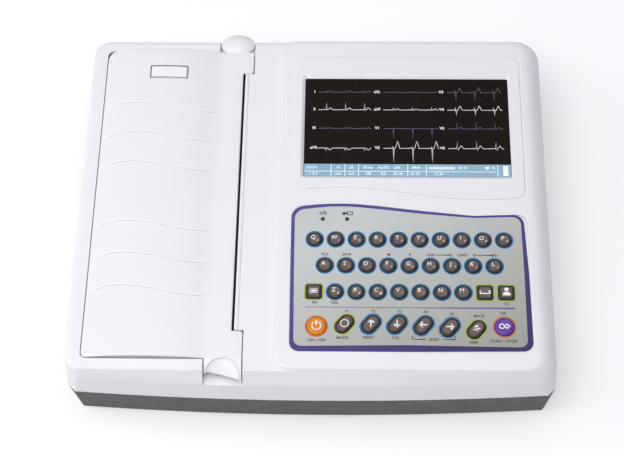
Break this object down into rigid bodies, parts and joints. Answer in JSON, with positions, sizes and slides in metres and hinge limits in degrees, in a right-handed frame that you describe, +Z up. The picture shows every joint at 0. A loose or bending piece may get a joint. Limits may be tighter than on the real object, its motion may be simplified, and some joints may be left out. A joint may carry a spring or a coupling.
{
  "type": "electrocardiograph",
  "caption": "Portable desktop electrocardiograph with a hinged paper lid, a geared chart printer, a colour display and a keypad of rubber keys on a dark base.",
  "frame": {"origin": "middle of the bounding box at the plane the feet rest on", "axes": "+Z up, +Y from the operator to the rear, +X to the operator's right"},
  "size_m": [0.348, 0.293, 0.079],
  "materials": {
    "white_shell": "satin white moulding with a cool tint",
    "base_plastic": "fine-grained dark grey moulding",
    "overlay_film": "printed polyester film",
    "display_glass": "dark display behind anti-glare glass",
    "circuit_board": "green solder mask",
    "sheet_metal": "folded sheet",
    "frame_plastic": "grey glass-filled moulding",
    "motor_steel": "drawn steel can",
    "battery_cells": "cells in a blue plastic sleeve",
    "inlet_plastic": "black appliance inlet",
    "connector_metal": "plated connector shells",
    "foot_rubber": "soft dark rubber",
    "screw_steel": "plated steel",
    "platen_rubber": "ground black rubber",
    "gear_plastic": "natural acetal",
    "pinion_brass": "cut brass",
    "chart_paper": "thermal chart paper with a pink grid",
    "key_grey": "dark grey silicone",
    "key_orange": "orange silicone",
    "key_violet": "violet silicone"
  },
  "bodies": {
    "chassis": {"base_shell": "base_plastic", "top_shell": "white_shell", "keypad_overlay": "overlay_film", "display_module": "display_glass", "main_board": "circuit_board", "key_board": "circuit_board", "power_supply": "sheet_metal", "printer_frame": "frame_plastic", "print_head": "sheet_metal", "stepper_motor": "motor_steel", "battery_pack": "battery_cells", "battery_door": "base_plastic", "mains_inlet": "inlet_plastic", "signal_ports": "connector_metal", "feet": "foot_rubber", "screws": "screw_steel", "tear_bar": "screw_steel"},
    "lid": {"paper_lid": "white_shell"},
    "platen": {"platen_roller": "platen_rubber", "platen_gear": "gear_plastic"},
    "idler": {"idler_gear": "gear_plastic"},
    "pinion": {"motor_pinion": "pinion_brass"},
    "roll": {"paper_roll": "chart_paper"},
    "key_q": {"key_q": "key_grey"},
    "key_w": {"key_w": "key_grey"},
    "key_e": {"key_e": "key_grey"},
    "key_r": {"key_r": "key_grey"},
    "key_t": {"key_t": "key_grey"},
    "key_y": {"key_y": "key_grey"},
    "key_u": {"key_u": "key_grey"},
    "key_i": {"key_i": "key_grey"},
    "key_o": {"key_o": "key_grey"},
    "key_p": {"key_p": "key_grey"},
    "key_a": {"key_a": "key_grey"},
    "key_s": {"key_s": "key_grey"},
    "key_d": {"key_d": "key_grey"},
    "key_f": {"key_f": "key_grey"},
    "key_g": {"key_g": "key_grey"},
    "key_h": {"key_h": "key_grey"},
    "key_j": {"key_j": "key_grey"},
    "key_k": {"key_k": "key_grey"},
    "key_l": {"key_l": "key_grey"},
    "key_z": {"key_z": "key_grey"},
    "key_x": {"key_x": "key_grey"},
    "key_c": {"key_c": "key_grey"},
    "key_v": {"key_v": "key_grey"},
    "key_b": {"key_b": "key_grey"},
    "key_n": {"key_n": "key_grey"},
    "key_m": {"key_m": "key_grey"},
    "key_fn": {"key_fn": "key_grey"},
    "key_space": {"key_space": "key_grey"},
    "key_patient": {"key_patient": "key_grey"},
    "key_power": {"key_power": "key_orange"},
    "key_f1": {"key_f1": "key_grey"},
    "key_f2": {"key_f2": "key_grey"},
    "key_f3": {"key_f3": "key_grey"},
    "key_f4": {"key_f4": "key_grey"},
    "key_f5": {"key_f5": "key_grey"},
    "key_back": {"key_back": "key_grey"},
    "key_ok": {"key_ok": "key_violet"}
  },
  "joints": [
    {"name": "lid_hinge", "type": "hinge", "parent": "chassis", "child": "lid", "pos_m": [-0.152, 0.00185, 0.071], "axis": [0, -1, 0], "range_deg": [0, 100]},
    {"name": "roll_spin", "type": "hinge", "parent": "chassis", "child": "roll", "pos_m": [-0.11519, 0.00185, 0.0369], "axis": [0, 1, 0], "continuous": true},
    {"name": "platen_spin", "type": "hinge", "parent": "lid", "child": "platen", "pos_m": [-0.0645, 0.00185, 0.063], "axis": [0, 1, 0], "continuous": true},
    {"name": "idler_spin", "type": "hinge", "parent": "chassis", "child": "idler", "pos_m": [-0.0645, 0.00185, 0.0454], "axis": [0, 1, 0], "continuous": true},
    {"name": "pinion_spin", "type": "hinge", "parent": "chassis", "child": "pinion", "pos_m": [-0.07525, 0.00185, 0.03465], "axis": [0, 1, 0], "continuous": true},
    {"name": "key_q_press", "type": "slide", "parent": "chassis", "child": "key_q", "axis": [0, 0, 1], "range_m": [-0.001, 0], "stiffness_N_per_m": 300, "springref_m": 0.001},
    {"name": "key_w_press", "type": "slide", "parent": "chassis", "child": "key_w", "axis": [0, 0, 1], "range_m": [-0.001, 0], "stiffness_N_per_m": 300, "springref_m": 0.001},
    {"name": "key_e_press", "type": "slide", "parent": "chassis", "child": "key_e", "axis": [0, 0, 1], "range_m": [-0.001, 0], "stiffness_N_per_m": 300, "springref_m": 0.001},
    {"name": "key_r_press", "type": "slide", "parent": "chassis", "child": "key_r", "axis": [0, 0, 1], "range_m": [-0.001, 0], "stiffness_N_per_m": 300, "springref_m": 0.001},
    {"name": "key_t_press", "type": "slide", "parent": "chassis", "child": "key_t", "axis": [0, 0, 1], "range_m": [-0.001, 0], "stiffness_N_per_m": 300, "springref_m": 0.001},
    {"name": "key_y_press", "type": "slide", "parent": "chassis", "child": "key_y", "axis": [0, 0, 1], "range_m": [-0.001, 0], "stiffness_N_per_m": 300, "springref_m": 0.001},
    {"name": "key_u_press", "type": "slide", "parent": "chassis", "child": "key_u", "axis": [0, 0, 1], "range_m": [-0.001, 0], "stiffness_N_per_m": 300, "springref_m": 0.001},
    {"name": "key_i_press", "type": "slide", "parent": "chassis", "child": "key_i", "axis": [0, 0, 1], "range_m": [-0.001, 0], "stiffness_N_per_m": 300, "springref_m": 0.001},
    {"name": "key_o_press", "type": "slide", "parent": "chassis", "child": "key_o", "axis": [0, 0, 1], "range_m": [-0.001, 0], "stiffness_N_per_m": 300, "springref_m": 0.001},
    {"name": "key_p_press", "type": "slide", "parent": "chassis", "child": "key_p", "axis": [0, 0, 1], "range_m": [-0.001, 0], "stiffness_N_per_m": 300, "springref_m": 0.001},
    {"name": "key_a_press", "type": "slide", "parent": "chassis", "child": "key_a", "axis": [0, 0, 1], "range_m": [-0.001, 0], "stiffness_N_per_m": 300, "springref_m": 0.001},
    {"name": "key_s_press", "type": "slide", "parent": "chassis", "child": "key_s", "axis": [0, 0, 1], "range_m": [-0.001, 0], "stiffness_N_per_m": 300, "springref_m": 0.001},
    {"name": "key_d_press", "type": "slide", "parent": "chassis", "child": "key_d", "axis": [0, 0, 1], "range_m": [-0.001, 0], "stiffness_N_per_m": 300, "springref_m": 0.001},
    {"name": "key_f_press", "type": "slide", "parent": "chassis", "child": "key_f", "axis": [0, 0, 1], "range_m": [-0.001, 0], "stiffness_N_per_m": 300, "springref_m": 0.001},
    {"name": "key_g_press", "type": "slide", "parent": "chassis", "child": "key_g", "axis": [0, 0, 1], "range_m": [-0.001, 0], "stiffness_N_per_m": 300, "springref_m": 0.001},
    {"name": "key_h_press", "type": "slide", "parent": "chassis", "child": "key_h", "axis": [0, 0, 1], "range_m": [-0.001, 0], "stiffness_N_per_m": 300, "springref_m": 0.001},
    {"name": "key_j_press", "type": "slide", "parent": "chassis", "child": "key_j", "axis": [0, 0, 1], "range_m": [-0.001, 0], "stiffness_N_per_m": 300, "springref_m": 0.001},
    {"name": "key_k_press", "type": "slide", "parent": "chassis", "child": "key_k", "axis": [0, 0, 1], "range_m": [-0.001, 0], "stiffness_N_per_m": 300, "springref_m": 0.001},
    {"name": "key_l_press", "type": "slide", "parent": "chassis", "child": "key_l", "axis": [0, 0, 1], "range_m": [-0.001, 0], "stiffness_N_per_m": 300, "springref_m": 0.001},
    {"name": "key_z_press", "type": "slide", "parent": "chassis", "child": "key_z", "axis": [0, 0, 1], "range_m": [-0.001, 0], "stiffness_N_per_m": 300, "springref_m": 0.001},
    {"name": "key_x_press", "type": "slide", "parent": "chassis", "child": "key_x", "axis": [0, 0, 1], "range_m": [-0.001, 0], "stiffness_N_per_m": 300, "springref_m": 0.001},
    {"name": "key_c_press", "type": "slide", "parent": "chassis", "child": "key_c", "axis": [0, 0, 1], "range_m": [-0.001, 0], "stiffness_N_per_m": 300, "springref_m": 0.001},
    {"name": "key_v_press", "type": "slide", "parent": "chassis", "child": "key_v", "axis": [0, 0, 1], "range_m": [-0.001, 0], "stiffness_N_per_m": 300, "springref_m": 0.001},
    {"name": "key_b_press", "type": "slide", "parent": "chassis", "child": "key_b", "axis": [0, 0, 1], "range_m": [-0.001, 0], "stiffness_N_per_m": 300, "springref_m": 0.001},
    {"name": "key_n_press", "type": "slide", "parent": "chassis", "child": "key_n", "axis": [0, 0, 1], "range_m": [-0.001, 0], "stiffness_N_per_m": 300, "springref_m": 0.001},
    {"name": "key_m_press", "type": "slide", "parent": "chassis", "child": "key_m", "axis": [0, 0, 1], "range_m": [-0.001, 0], "stiffness_N_per_m": 300, "springref_m": 0.001},
    {"name": "key_fn_press", "type": "slide", "parent": "chassis", "child": "key_fn", "axis": [0, 0, 1], "range_m": [-0.001, 0], "stiffness_N_per_m": 300, "springref_m": 0.001},
    {"name": "key_space_press", "type": "slide", "parent": "chassis", "child": "key_space", "axis": [0, 0, 1], "range_m": [-0.001, 0], "stiffness_N_per_m": 300, "springref_m": 0.001},
    {"name": "key_patient_press", "type": "slide", "parent": "chassis", "child": "key_patient", "axis": [0, 0, 1], "range_m": [-0.001, 0], "stiffness_N_per_m": 300, "springref_m": 0.001},
    {"name": "key_power_press", "type": "slide", "parent": "chassis", "child": "key_power", "axis": [0, 0, 1], "range_m": [-0.001, 0], "stiffness_N_per_m": 300, "springref_m": 0.001},
    {"name": "key_f1_press", "type": "slide", "parent": "chassis", "child": "key_f1", "axis": [0, 0, 1], "range_m": [-0.001, 0], "stiffness_N_per_m": 300, "springref_m": 0.001},
    {"name": "key_f2_press", "type": "slide", "parent": "chassis", "child": "key_f2", "axis": [0, 0, 1], "range_m": [-0.001, 0], "stiffness_N_per_m": 300, "springref_m": 0.001},
    {"name": "key_f3_press", "type": "slide", "parent": "chassis", "child": "key_f3", "axis": [0, 0, 1], "range_m": [-0.001, 0], "stiffness_N_per_m": 300, "springref_m": 0.001},
    {"name": "key_f4_press", "type": "slide", "parent": "chassis", "child": "key_f4", "axis": [0, 0, 1], "range_m": [-0.001, 0], "stiffness_N_per_m": 300, "springref_m": 0.001},
    {"name": "key_f5_press", "type": "slide", "parent": "chassis", "child": "key_f5", "axis": [0, 0, 1], "range_m": [-0.001, 0], "stiffness_N_per_m": 300, "springref_m": 0.001},
    {"name": "key_back_press", "type": "slide", "parent": "chassis", "child": "key_back", "axis": [0, 0, 1], "range_m": [-0.001, 0], "stiffness_N_per_m": 300, "springref_m": 0.001},
    {"name": "key_ok_press", "type": "slide", "parent": "chassis", "child": "key_ok", "axis": [0, 0, 1], "range_m": [-0.001, 0], "stiffness_N_per_m": 300, "springref_m": 0.001}
  ],
  "couplings": [
    {"joint": "platen_spin", "follows": "roll_spin", "ratio": 3.3333},
    {"joint": "idler_spin", "follows": "roll_spin", "ratio": -2.7778},
    {"joint": "pinion_spin", "follows": "roll_spin", "ratio": 4.7619}
  ]
}
